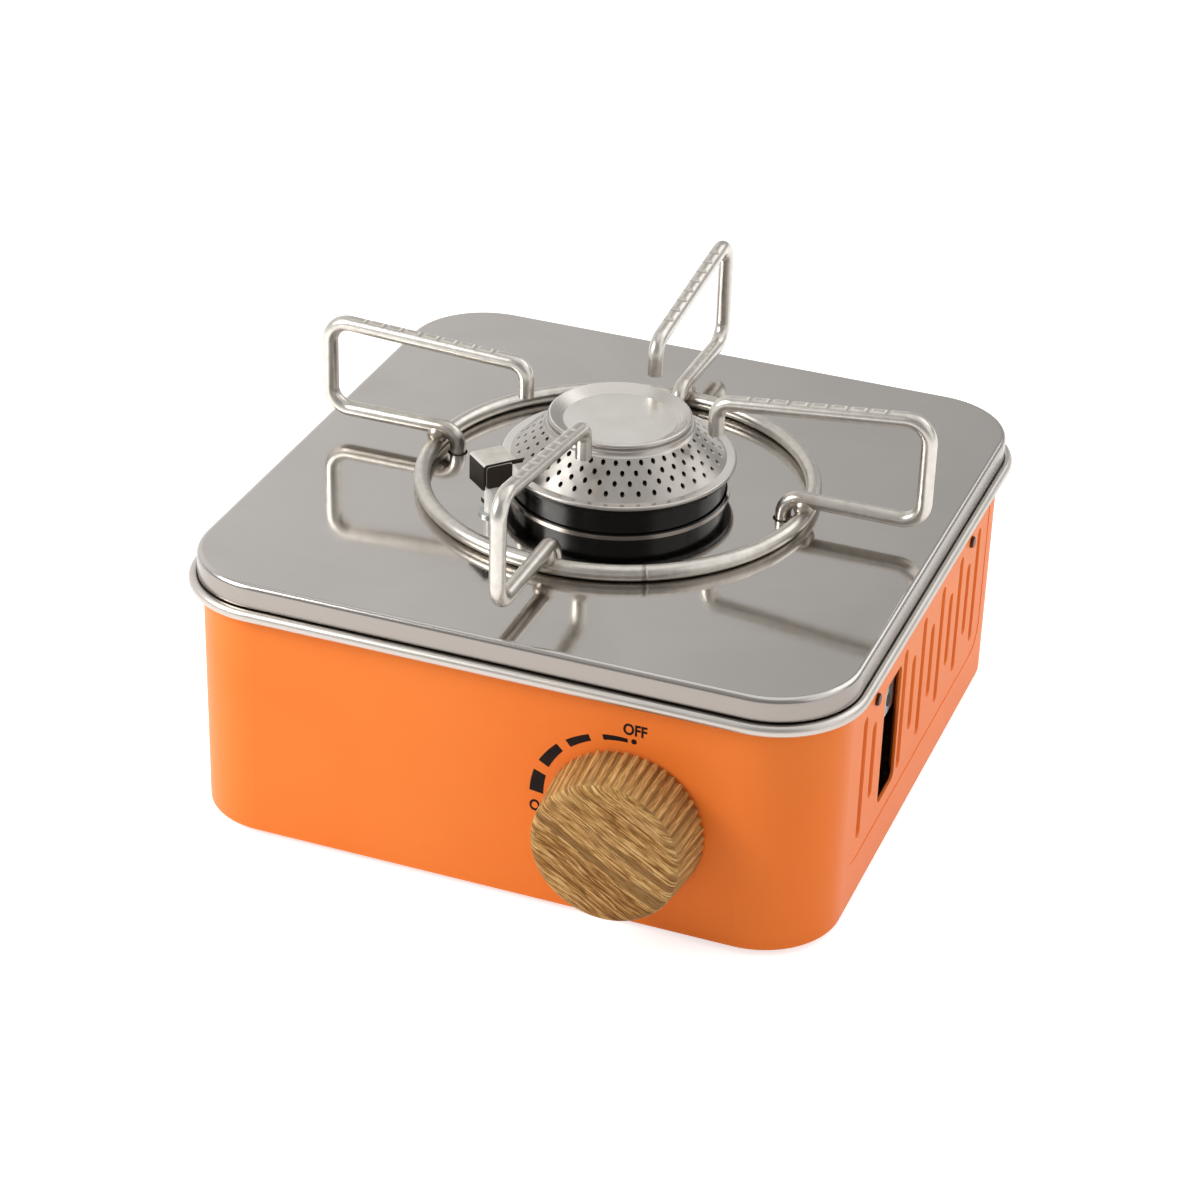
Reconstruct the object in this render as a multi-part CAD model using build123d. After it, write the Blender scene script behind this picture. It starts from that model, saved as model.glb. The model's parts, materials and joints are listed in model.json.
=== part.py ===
from build123d import *
import os
from math import atan2, degrees, sqrt

# Portable gas stove: a square tin box with a steel top plate, a perforated burner,
# a lift-off wire pot support, a spark igniter and a knob that works the gas valve.
# Millimetres, +Z up, the knob at the front (-Y). Everything is laid out about the
# burner's axis, and moved along Y at the end to centre the whole stove on the origin.

# Tin box
body_width = 180.0
body_depth = 180.0
body_corner = 22.0
body_sheet = 1.0
body_height = 68.5
body_lift = 2.0
lip_width = 8.0
base_sheet = 1.0
base_gap = 0.6

# How far a cutting tool runs past the face that it opens
cut_over = 1.0

# Rolled bead round the top edge of the walls
bead_radius = 1.65
bead_offset = 2.2

# Pressed grooves, panel and window of the side walls
groove_pitch = 9.2
groove_width = 3.8
groove_depth = 1.5
groove_margin = 4.0
long_groove_low = 17.9
long_groove_drop = 13.5
short_groove_low = 24.9
short_groove_drop = 20.3
panel_margin = 3.0
panel_low = 12.0
panel_drop = 5.5
panel_corner = 8.0
panel_depth = 0.15
window_ahead = 12.1
window_behind = 3.2
window_below = 26.6
window_above = 9.4
window_corner = 2.5

# Rubber feet and base rivets
foot_inset = 24.0
foot_radius = 6.0
foot_stem_radius = 2.4
foot_cap_radius = 3.4
foot_cap_height = 1.6
foot_edge = 0.5
rivet_spread = 40.0
rivet_radius = 1.5
rivet_head_radius = 2.6
rivet_head = 1.0

# Top plate
plate_rise = 8.0
plate_over = 1.45
plate_seat = 0.4
plate_sheet = 0.8
plate_gap = 0.4
plate_edge = 1.6
tab_width = 10.0
tab_drop = 18.5
plate_screw_drop = 13.2
plate_screw_place = 1
plate_screw_radius = 1.35
plate_screw_head_radius = 1.7
plate_screw_head = 0.9
plate_screw_length = 6.0

# Burner, with heights above the top plate
burner_gap = 0.5
burner_lip_width = 0.8
burner_lip = 0.6
bowl_radius = 29.7
bowl_wall = 1.2
bowl_rim_width = 1.8
bowl_rim = 1.2
bowl_depth = 5.5
bowl_funnel = 10.0
brim_over = 0.8
brim_height = 8.7
brim_thickness = 1.2
brim_width = 2.7
cone_run = 8.8
cone_top_height = 18.7
cap_wall = 0.8
cap_rim_inset = 1.0
cap_rim_height = 21.9
cap_rim_round = 0.8
cap_rim_waist = 0.1
cap_rim_width = 4.3
cap_dish_depth = 1.7
hole_rows = 4
holes_per_row = 40
hole_radius = 0.6
first_row_margin = 0.9
last_row_margin = 1.75

# Mixing tube and its bracket
tube_radius = 10.0
tube_wall = 1.0
tube_bend = 20.0
mouth_setback = 16.0
bracket_sheet = 1.5
bracket_half = 13.0
bracket_setback = 28.0
bracket_length = 23.5
bracket_over_jet = 10.0
bracket_over_tube = 5.0

# Pot support, with heights above the top plate
wire_radius = 2.2
support_clear = 0.15
weld_gap = 0.15
weld_radius = 3.2
ring_radius = 53.8
hook_radius = 27.6
hook_tip_height = 21.4
bar_inner_height = 30.8
hook_bend = 4.5
arm_bend = 6.0
peg_radius = 47.8
peg_bend = 5.0
peg_depth = 5.0
peg_hole_gap = 0.55
notch_count = 8
notch_first = 37.0
notch_pitch = 5.4
notch_radius = 1.5
notch_depth = 0.55
arm_reach = 86.5
left_bar_height = 33.4
right_bar_height = 36.9
front_bar_height = 37.7
back_bar_height = 38.9

# Spark igniter, beside the burner at its front left
igniter_gap = 9.0
igniter_angle = 229.0
ceramic_radius = 2.0
ceramic_gap = 0.2
ceramic_height = 12.0
ceramic_tail = 10.0
collar_radius = 3.0
collar_height = 3.0
clip_radius = 3.6
clip_sheet = 0.7
electrode_radius = 0.6
electrode_height = 14.0
electrode_reach = 9.0
electrode_bend = 1.5
hood_width = 9.5
hood_height = 17.5
hood_drop = 7.8
hood_sheet = 0.7
hood_recess = 0.5
hood_foot = 5.0
hood_leg_width = 6.4
lead_radius = 1.25
lead_bend = 6.0
lead_plug = 10.0

# Knob and valve stem
knob_x = 37.7
knob_drop = 38.2
knob_gap = 0.6
knob_length = 16.1
knob_back_radius = 21.6
knob_front_radius = 20.1
knob_edge = 2.5
knob_ribs = 50
rib_radius = 1.0
rib_depth = 0.8
rib_length = 12.6
insert_radius = 6.0
insert_length = 13.0
insert_wall = 0.8
stem_radius = 3.0
stem_thread_radius = 2.0
stem_hole_radius = 5.0
drum_radius = 6.0
drum_gap = 1.4

# Valve, along the stem from the front wall to the back
igniter_travel = 4.0
carriage_sheet = 3.2
carriage_half = 8.0
carriage_corner = 2.0
needle_travel = 2.2
end_gap = 0.4
bush_head = 3.6
bush_head_radius = 7.0
bush_thread = 6.0
seal_length = 2.0
shoulder_gap = 1.0
valve_bore_radius = 5.5
needle_gap = 0.1
needle_length = 9.5
needle_grip = 5.0
needle_cone = 5.0
needle_cone_radius = 2.5
needle_tip_radius = 0.6
seat_radius = 2.0
seat_depth = 2.0
outlet_radius = 1.5
valve_half_width = 11.0
valve_half_height = 12.0
running_gap = 0.05

# Regulator and gas inlet
inlet_setback = 64.8
inlet_rise = 13.3
regulator_radius = 17.0
regulator_rise = 19.2
chamber_radius = 12.0
chamber_depth = 11.0
diaphragm_sheet = 1.0
cover_height = 9.0
cover_wall = 1.5
cover_cavity_radius = 9.0
spring_radius = 6.0
spring_wire = 1.0
regulator_screw_circle = 14.5
regulator_screw_count = 4
regulator_screw_length = 6.0
socket_radius = 5.0
socket_spigot_radius = 3.0
socket_spigot = 4.0
socket_neck_radius = 3.6
socket_neck = 2.6
inlet_bore_radius = 2.4
inlet_bore_depth = 12.0
inlet_seal_radius = 1.9
inlet_seal_length = 1.5
gas_way_radius = 1.0
keyhole_gap = 0.2
keyhole_top_radius = 1.7
keyhole_rise = 3.3
keyhole_shift = 1.0
inlet_plate_sheet = 1.0
inlet_plate_setback = 2.3
inlet_plate_over = 1.4
inlet_plate_below = 4.3
inlet_plate_above = 14.2
inlet_plate_flange = 5.0

# Brackets, screws, gas pipe and jet
stand_sheet = 1.5
stand_half = 12.0
stand_foot = 10.0
stand_foot_gap = 2.6
stand_behind = 10.2
screw_radius = 1.5
screw_head = 2.0
screw_end = 1.8
stand_screw_inset = 8.0
valve_screw_length = 5.0
pipe_radius = 2.5
pipe_bore_radius = 1.5
pipe_bend = 6.8
pipe_run = 10.2
pipe_setback = 12.0
pipe_nut_radius = 5.0
pipe_nut_length = 3.0
jet_hex_radius = 5.0
jet_hex = 6.0
jet_thread_radius = 3.5
jet_thread = 6.0
jet_nose_radius = 2.2
jet_nose = 8.0
jet_nut = 3.5
jet_bore_radius = 0.5

# Piezo unit on top of the valve
piezo_half = 4.5
piezo_length = 25.0
piezo_setback = 3.5
plunger_radius = 2.5
plunger_length = 18.2
plunger_room = 0.5
piezo_saddle = 1.5
piezo_cheek = 1.0
piezo_cheek_height = 2.3
piezo_tail = 4.5
piezo_screw_radius = 1.0

# Levels and stations that follow from the sizes above
half_x = body_width / 2
half_y = body_depth / 2
inner_x = half_x - body_sheet
inner_y = half_y - body_sheet
wall_top = body_lift + body_height
base_bottom = body_lift + body_sheet
base_top = base_bottom + base_sheet
bead_z = wall_top - body_sheet / 2
plate_top = wall_top + plate_rise
plate_under = plate_top - plate_sheet
plate_bottom = bead_z + bead_radius + plate_seat
tab_low = wall_top - tab_drop
tab_outer = inner_x - plate_gap
knob_z = wall_top - knob_drop
inlet_z = knob_z + inlet_rise
inlet_y = inlet_setback - half_y
window_front = inlet_y - window_ahead
window_back = inlet_y + window_behind
window_bottom = inlet_z - window_below
window_top = inlet_z + window_above
panel_bottom = body_lift + panel_low
panel_top = wall_top - panel_drop
long_groove = (body_lift + long_groove_low, wall_top - long_groove_drop)
short_groove = (body_lift + short_groove_low, wall_top - short_groove_drop)
panel_length = body_depth - 2 * (body_corner + panel_margin)
groove_half = groove_width / 2
groove_pairs = int((panel_length / 2 - groove_margin - groove_half) / groove_pitch)
groove_count = 2 * groove_pairs + 1
groove_radius = (groove_half ** 2 + groove_depth ** 2) / (2 * groove_depth)
groove_centre = groove_radius - groove_depth
screw_y = groove_pitch * (groove_pairs - plate_screw_place)
screw_z = wall_top - plate_screw_drop
burner_hole_radius = bowl_radius + burner_gap
bowl_rim_radius = bowl_radius + bowl_rim_width
brim_radius = bowl_rim_radius + brim_over
cone_foot_radius = brim_radius - brim_width
cone_top_radius = cone_foot_radius - cone_run
cap_rim_radius = cone_top_radius - cap_rim_inset
cap_dish_radius = cap_rim_radius - cap_rim_width
row_step = (cone_run - first_row_margin - last_row_margin) / (hole_rows - 1)
igniter_radius = bowl_radius + igniter_gap
bowl_top = plate_top + brim_height
brim_top = bowl_top + brim_thickness
bracket_front = bracket_setback - half_y
bracket_back = bracket_front + bracket_length
tube_mouth = bracket_front + mouth_setback
tube_bend_top = knob_z + tube_bend
throat_bottom = tube_bend_top + end_gap
throat_top = plate_top - bowl_depth - bowl_funnel
ring_z = plate_top + support_clear + wire_radius
lower_bar_z = ring_z + 2 * wire_radius + weld_gap
knob_back = -half_y - knob_gap
knob_front = knob_back - knob_length
drum_front = -inner_y + drum_gap
drum_back = drum_front + carriage_sheet + igniter_travel + end_gap
bush_front = drum_back + end_gap
valve_front = bush_front + bush_head
bush_back = valve_front + bush_thread
seal_back = bush_back + seal_length
stem_shoulder = seal_back + shoulder_gap
needle_front = stem_shoulder + needle_travel + end_gap
needle_back = needle_front + needle_length
stem_back = needle_front + needle_grip
seat_y = needle_back + seat_depth
outlet_y = seat_y - outlet_radius - end_gap
valve_bottom = knob_z - valve_half_height
valve_top = knob_z + valve_half_height
regulator_z = knob_z + regulator_rise
cover_bottom = regulator_z + diaphragm_sheet
cover_top = cover_bottom + cover_height
carriage_front = drum_front + end_gap / 2
carriage_back = carriage_front + carriage_sheet
piezo_z = valve_top + piezo_saddle + piezo_half
piezo_front = valve_front + piezo_setback
piezo_back = piezo_front + piezo_length
inlet_plate_face = half_x - inlet_plate_setback
inlet_plate_front = window_front - inlet_plate_over
inlet_plate_back = window_back + inlet_plate_over
socket_end = inlet_plate_face - inlet_plate_sheet
seal_x = socket_end - inlet_bore_depth
jet_back = bracket_front - jet_hex
pipe_front_y = pipe_setback - half_y
pipe_side_x = knob_x - valve_half_width - pipe_run
stand_front = foot_inset - half_y + foot_cap_radius + stand_foot_gap
stand_back = inlet_y + stand_behind
stand_left = knob_x - stand_half
stand_right = knob_x + stand_half
depth_shift = (-knob_front - half_y - bead_offset - bead_radius) / 2


def block(x0, x1, y0, y1, z0, z1):
    return Pos((x0 + x1) / 2, (y0 + y1) / 2, (z0 + z1) / 2) * Box(x1 - x0, y1 - y0, z1 - z0)


def rod_x(radius, x0, x1, y, z):
    return Pos((x0 + x1) / 2, y, z) * Rot(0, 90, 0) * Cylinder(radius, x1 - x0)


def rod_y(radius, y0, y1, x, z):
    return Pos(x, (y0 + y1) / 2, z) * Rot(90, 0, 0) * Cylinder(radius, y1 - y0)


def rod_z(radius, z0, z1, x=0.0, y=0.0):
    return Pos(x, y, (z0 + z1) / 2) * Cylinder(radius, z1 - z0)


def hex_x(radius, x0, x1, y, z):
    return Pos(x0, y, z) * Rot(0, 90, 0) * extrude(RegularPolygon(radius, 6), x1 - x0)


def hex_y(radius, y0, y1, x, z):
    return Pos(x, y1, z) * Rot(90, 0, 0) * extrude(RegularPolygon(radius, 6), y1 - y0)


def slab(reach_x, reach_y, corner, z0, z1):
    return Pos(0, 0, z0) * extrude(RectangleRounded(2 * reach_x, 2 * reach_y, corner), z1 - z0)


def turned(points):
    return revolve(make_face(Plane.XZ * Polyline(*points, close=True)), Axis.Z)


def swept(path, section):
    return sweep(Plane(origin=path @ 0, z_dir=path % 0) * section, path=path)


def quarters(make):
    return [make(sx, sy) for sx in (-1, 1) for sy in (-1, 1)]


def screw_down(x, y, top, end, radius=screw_radius):
    return rod_z(radius, end, top, x, y) + rod_z(2 * radius, top, top + screw_head, x, y)


# Side walls: grooves are pressed inwards, so each has a rounded back inside the wall.
def groove_tool(radius, span):
    low, high = span[0] + groove_half, span[1] - groove_half
    rounds = [Pos(0, 0, z) * Sphere(radius) for z in (low, high)]
    return Pos(groove_centre, 0, 0) * (rod_z(radius, low, high) + rounds)


def groove_back(span):
    reach = groove_radius + body_sheet
    keep = block(-2 * reach, -body_sheet / 2, -reach, reach, 0, wall_top)
    return groove_tool(reach, span) & keep


def groove_row(left_wall):
    places = []
    for i in range(groove_count):
        y = (i - (groove_count - 1) / 2) * groove_pitch
        at_inlet = inlet_plate_front - groove_half < y < inlet_plate_back + groove_half
        if left_wall or not at_inlet:
            places.append((i, y))
    return places


def on_wall(left_wall, y, shape):
    if left_wall:
        return Pos(-half_x, y, 0) * Rot(0, 0, 180) * shape
    return Pos(half_x, y, 0) * shape


def wall_cutter(wide, high, corner, depth):
    return extrude(Plane.YZ * RectangleRounded(wide, high, corner), depth, both=True)


def body_shell():
    shell = slab(half_x, half_y, body_corner, body_lift, wall_top)
    shell -= slab(inner_x, inner_y, body_corner - body_sheet, base_bottom, wall_top)
    mouth_corner = body_corner - lip_width
    shell -= slab(half_x - lip_width, half_y - lip_width, mouth_corner, body_lift, base_bottom)
    backs = (groove_back(long_groove), groove_back(short_groove))
    tools = (groove_tool(groove_radius, long_groove), groove_tool(groove_radius, short_groove))
    added = []
    cuts = []
    panel = wall_cutter(panel_length, panel_top - panel_bottom, panel_corner, panel_depth)
    panel = Pos(0, 0, (panel_bottom + panel_top) / 2) * panel
    for left_wall in (False, True):
        for i, y in groove_row(left_wall):
            added.append(on_wall(left_wall, y, backs[i % 2]))
            cuts.append(on_wall(left_wall, y, tools[i % 2]))
        cuts.append(on_wall(left_wall, 0, panel))
        for y in (-screw_y, screw_y):
            hole = rod_x(plate_screw_radius + plate_gap, -half_x, half_x, 0, 0)
            hole = Pos(0, 0, screw_z) * hole
            cuts.append(on_wall(left_wall, y, Pos(half_x - 2 * body_sheet, 0, 0) * hole))
    shell = shell + added - cuts
    wide = window_back - window_front
    high = window_top - window_bottom
    window = wall_cutter(wide, high, window_corner, 2 * body_sheet)
    middle = ((window_front + window_back) / 2, (window_bottom + window_top) / 2)
    shell -= Pos(half_x, *middle) * window
    shell -= rod_y(stem_hole_radius, -half_y - cut_over, -inner_y + cut_over, knob_x, knob_z)
    shell -= quarters(rivet_hole)
    return shell


def rivet_places(sx, sy):
    side = (sx * (inner_x + half_x - lip_width) / 2, sy * rivet_spread)
    end = (sx * rivet_spread, sy * (inner_y + half_y - lip_width) / 2)
    return side, end


def rivet_hole(sx, sy):
    top = base_top + cut_over
    side, end = rivet_places(sx, sy)
    return rod_z(rivet_radius, 0, top, *side) + rod_z(rivet_radius, 0, top, *end)


def base_rivets():
    rivets = []
    for sx in (-1, 1):
        for sy in (-1, 1):
            for x, y in rivet_places(sx, sy):
                rivet = rod_z(rivet_radius, body_lift, base_top, x, y)
                rivet += rod_z(rivet_head_radius, body_lift - rivet_head, body_lift, x, y)
                rivets.append(rivet + rod_z(rivet_head_radius, base_top, base_top + rivet_head, x, y))
    return rivets


def rim_bead():
    reach_x = half_x + bead_offset
    reach_y = half_y + bead_offset
    corner = body_corner + bead_offset
    web = slab(reach_x, reach_y, corner, wall_top - body_sheet, wall_top)
    web -= slab(half_x, half_y, body_corner, wall_top - body_sheet, wall_top)
    path = Pos(0, 0, bead_z) * RectangleRounded(2 * reach_x, 2 * reach_y, corner).face().outer_wire()
    return web + swept(path, Circle(bead_radius))


def foot_place(sx, sy):
    return sx * (half_x - foot_inset), sy * (half_y - foot_inset)


def base_plate():
    reach_x = inner_x - base_gap
    reach_y = inner_y - base_gap
    plate = slab(reach_x, reach_y, body_corner - body_sheet - base_gap, base_bottom, base_top)
    feet = quarters(lambda sx, sy: rod_z(foot_stem_radius, 0, base_top, *foot_place(sx, sy)))
    places = stand_screw_places() + bracket_screw_places()
    screws = [rod_z(screw_radius, 0, base_top, *place) for place in places]
    return plate - feet - quarters(rivet_hole) - screws


def rubber_feet():
    def foot(sx, sy):
        place = foot_place(sx, sy)
        pad = fillet(rod_z(foot_radius, 0, base_bottom, *place).edges().group_by(Axis.Z)[0], foot_edge)
        stem = rod_z(foot_stem_radius, base_bottom, base_top, *place)
        return pad + stem + rod_z(foot_cap_radius, base_top, base_top + foot_cap_height, *place)
    return quarters(foot)


# Top plate: a flat plate whose skirt stands on the bead, with screw tabs inside the walls.
def igniter_place():
    return Rot(0, 0, igniter_angle) * Pos(igniter_radius, 0, 0)


def plate_form(inset, top):
    over = plate_over - inset
    form = slab(half_x + over, half_y + over, body_corner + over, plate_bottom, top)
    return fillet(form.edges().group_by(Axis.Z)[-1], plate_edge - inset)


def top_plate():
    plate = plate_form(0, plate_top) - plate_form(plate_sheet, plate_under)
    for sx in (-1, 1):
        inner, outer = sorted((sx * (tab_outer - plate_sheet), sx * tab_outer))
        for y in (-screw_y, screw_y):
            y0, y1 = y - tab_width / 2, y + tab_width / 2
            plate += block(inner, outer, y0, y1, tab_low, plate_top - plate_sheet / 2)
    for y in (-screw_y, screw_y):
        plate -= rod_x(plate_screw_radius, -half_x, half_x, y, screw_z)
    plate += rod_z(burner_hole_radius + burner_lip_width, plate_under, plate_top + burner_lip)
    low = plate_under - cut_over
    high = plate_top + burner_lip + cut_over
    plate -= rod_z(burner_hole_radius, low, high)
    for angle in (0, 90, 180, 270):
        plate -= Rot(0, 0, angle) * rod_z(wire_radius + peg_hole_gap, low, high, peg_radius)
    ceramic_hole = rod_z(ceramic_radius + ceramic_gap, low, high)
    return plate - igniter_place() * ceramic_hole


def top_plate_screws():
    screws = []
    for sx in (-1, 1):
        for y in (-screw_y, screw_y):
            head_in = half_x - panel_depth
            head = rod_x(plate_screw_head_radius, head_in, head_in + plate_screw_head, y, screw_z)
            head = fillet(head.edges().group_by(Axis.X)[-1], plate_screw_head / 2)
            screw = head + rod_x(plate_screw_radius, head_in - plate_screw_length, head_in, y, screw_z)
            screws.append(screw if sx > 0 else Rot(0, 0, 180) * screw)
    return screws


# Burner
def burner_cap():
    rise = brim_top - plate_top
    slope = (cone_top_height - rise) / (cone_foot_radius - cone_top_radius)
    floor_h = cap_rim_height - cap_dish_depth
    crest = (cap_rim_radius - cap_rim_round, cap_rim_height)
    shoulder = (cap_rim_radius, cap_rim_height - cap_rim_round)
    cone_top = (cone_top_radius, cone_top_height)
    waist = (cap_rim_radius - cap_rim_waist, (shoulder[1] + cone_top_height) / 2)
    round_middle = cap_rim_round * (1 - sqrt(0.5))
    dish = [
        Line((0, floor_h), (cap_dish_radius, floor_h)),
        Line((cap_dish_radius, floor_h), crest),
        ThreePointArc(crest, (shoulder[0] - round_middle, crest[1] - round_middle), shoulder),
        ThreePointArc(shoulder, waist, cone_top),
    ]
    drop = cap_wall * sqrt(1 + slope ** 2)
    outer = [
        Line(cone_top, (cone_foot_radius, rise)),
        Line((cone_foot_radius, rise), (brim_radius - brim_thickness / 2, rise)),
        ThreePointArc(
            (brim_radius - brim_thickness / 2, rise),
            (brim_radius, rise - brim_thickness / 2),
            (brim_radius - brim_thickness / 2, brim_height),
        ),
    ]
    inner = Polyline(
        (brim_radius - brim_thickness / 2, brim_height),
        (cone_foot_radius - (drop - brim_thickness) / slope, brim_height),
        (cone_top_radius - cap_wall, cone_top_height - drop + cap_wall * slope),
        (cap_rim_radius - 2 * cap_wall, floor_h + cap_wall / 4),
        (cap_dish_radius, floor_h - cap_wall),
        (0, floor_h - cap_wall),
        (0, floor_h),
    )
    cap = revolve(make_face(Plane.XZ * Pos(0, plate_top) * (Curve() + dish + outer + inner)), Axis.Z)
    punches = []
    for row in range(hole_rows):
        radius = cone_top_radius + first_row_margin + row * row_step
        height = plate_top + cone_top_height - (radius - cone_top_radius) * slope
        punch = rod_x(hole_radius, radius - 2 * cap_wall, radius + cap_wall, 0, height)
        for i in range(holes_per_row):
            turn = (i + row % 2 / 2) * 360 / holes_per_row
            punches.append(Rot(0, 0, turn) * punch)
    return cap - punches


def burner_bowl():
    throat = tube_radius + needle_gap
    side_bottom = plate_top - bowl_depth
    return turned([
        (bowl_rim_radius, bowl_top - bowl_rim),
        (bowl_rim_radius, bowl_top),
        (bowl_radius - bowl_wall, bowl_top),
        (bowl_radius - bowl_wall, side_bottom + bowl_wall / 2),
        (throat, throat_top + bowl_wall / 2),
        (throat, throat_bottom),
        (throat + bowl_wall, throat_bottom),
        (throat + bowl_wall, throat_top - bowl_wall / 2),
        (bowl_radius, side_bottom - bowl_wall / 2),
        (bowl_radius, bowl_top - bowl_rim),
    ])


def mixing_tube():
    path = FilletPolyline((0, 0, throat_top), (0, 0, knob_z), (0, tube_mouth, knob_z), radius=tube_bend)
    section = Circle(tube_radius) - Circle(tube_radius - tube_wall)
    return swept(path, section)


def bracket_screw_places():
    middle = (bracket_front + bracket_back) / 2
    return [(sx * bracket_half / 2, middle) for sx in (-1, 1)]


def burner_bracket():
    x = bracket_half
    top = base_top + bracket_sheet
    strip = block(-x, x, bracket_front, bracket_back, base_top, top)
    jet_top = knob_z + bracket_over_jet
    tube_top = knob_z + tube_radius + bracket_over_tube
    bracket = strip + block(-x, x, bracket_front, bracket_front + bracket_sheet, base_top, jet_top)
    bracket += block(-x, x, bracket_back - bracket_sheet, bracket_back, base_top, tube_top)
    bracket -= rod_y(jet_thread_radius, bracket_front, bracket_front + bracket_sheet, 0, knob_z)
    bracket -= rod_y(tube_radius, bracket_back - bracket_sheet, bracket_back, 0, knob_z)
    return bracket - [rod_z(screw_radius, base_top, top, *place) for place in bracket_screw_places()]


# Pot support: a wire ring with four bent arms, each ending in a peg in the top plate.
arms = {
    "support_arm_right": (0, right_bar_height),
    "support_arm_back": (90, back_bar_height),
    "support_arm_left": (180, left_bar_height),
    "support_arm_front": (270, front_bar_height),
}


def peg_path():
    corner = (peg_radius, 0, lower_bar_z)
    end = (peg_radius, 0, plate_top - peg_depth)
    return FilletPolyline((arm_reach, 0, lower_bar_z), corner, end, radius=peg_bend)


def support_arm(angle, bar_outer_height):
    inner_z = plate_top + bar_inner_height
    outer_z = plate_top + bar_outer_height
    path = FilletPolyline(
        (hook_radius, 0, plate_top + hook_tip_height),
        (hook_radius, 0, inner_z),
        (arm_reach, 0, outer_z),
        (arm_reach, 0, lower_bar_z),
        (peg_radius, 0, lower_bar_z),
        (peg_radius, 0, plate_top - peg_depth),
        radius=[hook_bend, arm_bend, arm_bend, peg_bend],
    )
    arm = swept(path, Circle(wire_radius))
    slope = (outer_z - inner_z) / (arm_reach - hook_radius)
    over = (wire_radius + notch_radius - notch_depth) * sqrt(1 + slope ** 2)
    notches = []
    for i in range(notch_count):
        r = notch_first + i * notch_pitch
        z = inner_z + (r - hook_radius) * slope + over
        notches.append(rod_y(notch_radius, -2 * wire_radius, 2 * wire_radius, r, z))
    return Rot(0, 0, angle) * (arm - notches)


def support_ring():
    return Pos(0, 0, ring_z) * Torus(ring_radius, wire_radius)


def support_welds():
    touch_z = ring_z + wire_radius + weld_gap / 2
    bead = Pos(ring_radius, 0, touch_z) * Sphere(weld_radius)
    bead = bead - support_ring() - swept(peg_path(), Circle(wire_radius))
    return [Rot(0, 0, angle) * bead for angle in (0, 90, 180, 270)]


# Spark igniter, laid out with the ceramic on the Z axis and +X pointing away from the burner.
def spark_hood():
    half = hood_width / 2
    top = plate_top + hood_height
    low = top - hood_drop
    hood = block(-half, half, -half, half, top - hood_sheet, top)
    hood += block(half - hood_sheet, half, -half, half - hood_recess, low, top - hood_sheet)
    near = half - hood_recess
    hood += block(-half, half - hood_sheet, near - hood_sheet, near, low, top - hood_sheet)
    hood += block(-half, half - hood_sheet, -half, hood_sheet - half, low, top - hood_sheet)
    leg = hood_leg_width / 2
    hood += block(-leg, leg, -half, hood_sheet - half, plate_top, low)
    return hood + block(-leg, leg, -half - hood_foot, -half, plate_top, plate_top + hood_sheet)


def igniter_ceramic():
    post = rod_z(ceramic_radius, plate_top - ceramic_tail, plate_top + ceramic_height)
    post += rod_z(collar_radius, plate_under - collar_height, plate_under)
    return post - rod_z(electrode_radius, 0, 2 * plate_top)


def igniter_clip():
    washer = rod_z(clip_radius, plate_top, plate_top + clip_sheet)
    return washer - rod_z(ceramic_radius, 0, 2 * plate_top)


def spark_electrode():
    top = plate_top + electrode_height
    start = (0, 0, plate_top - ceramic_tail)
    path = FilletPolyline(start, (0, 0, top), (-electrode_reach, 0, top), radius=electrode_bend)
    return swept(path, Circle(electrode_radius))


def ignition_lead():
    foot = igniter_place().position
    side = knob_x - piezo_half
    plug_y = (piezo_front + piezo_back) / 2
    path = FilletPolyline(
        (side, plug_y, piezo_z),
        (side - lead_plug, plug_y, piezo_z),
        (foot.X, foot.Y, piezo_z),
        (foot.X, foot.Y, plate_top - ceramic_tail),
        radius=lead_bend,
    )
    return swept(path, Circle(lead_radius))


# Knob and valve
def on_knob_axis(shape):
    return Pos(knob_x, knob_back, knob_z) * Rot(90, 0, 0) * shape


def knob():
    grip = turned([(0, 0), (knob_back_radius, 0), (knob_front_radius, knob_length), (0, knob_length)])
    grip = fillet(grip.edges().group_by(Axis.Z)[-1], knob_edge)
    taper = (knob_back_radius - knob_front_radius) / knob_length
    lean = degrees(atan2(taper * rib_length - rib_depth, rib_length))
    start = knob_back_radius + rib_radius - rib_depth
    cutter = Pos(start, 0, 0) * Rot(0, -lean, 0) * Cylinder(rib_radius, 2 * knob_length)
    grip -= [Rot(0, 0, i * 360 / knob_ribs) * cutter for i in range(knob_ribs)]
    return on_knob_axis(grip - rod_z(insert_radius, 0, insert_length))


def knob_insert():
    bore = insert_length - insert_wall
    return on_knob_axis(rod_z(insert_radius, 0, insert_length) - rod_z(stem_radius, 0, bore))


def valve_stem():
    end = knob_back - insert_length + insert_wall
    stem = rod_y(stem_radius, end, stem_shoulder, knob_x, knob_z)
    stem += rod_y(drum_radius, drum_front, drum_back, knob_x, knob_z)
    return stem + rod_y(stem_thread_radius, stem_shoulder, stem_back, knob_x, knob_z)


def valve_needle():
    body = rod_y(valve_bore_radius - needle_gap, needle_front, needle_back, knob_x, knob_z)
    cone = Cone(needle_cone_radius, needle_tip_radius, needle_cone)
    body += Pos(knob_x, needle_back + needle_cone / 2, knob_z) * Rot(-90, 0, 0) * cone
    bore_end = stem_back + needle_travel + end_gap
    return body - rod_y(stem_thread_radius + needle_gap, needle_front, bore_end, knob_x, knob_z)


def valve_bush():
    bush = hex_y(bush_head_radius, bush_front, valve_front, knob_x, knob_z)
    bush += rod_y(valve_bore_radius, valve_front, bush_back, knob_x, knob_z)
    return bush - rod_y(stem_radius + running_gap, bush_front, bush_back, knob_x, knob_z)


def stem_seal():
    seal = rod_y(valve_bore_radius, bush_back, seal_back, knob_x, knob_z)
    return seal - rod_y(stem_radius + running_gap, bush_back, seal_back, knob_x, knob_z)


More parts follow.
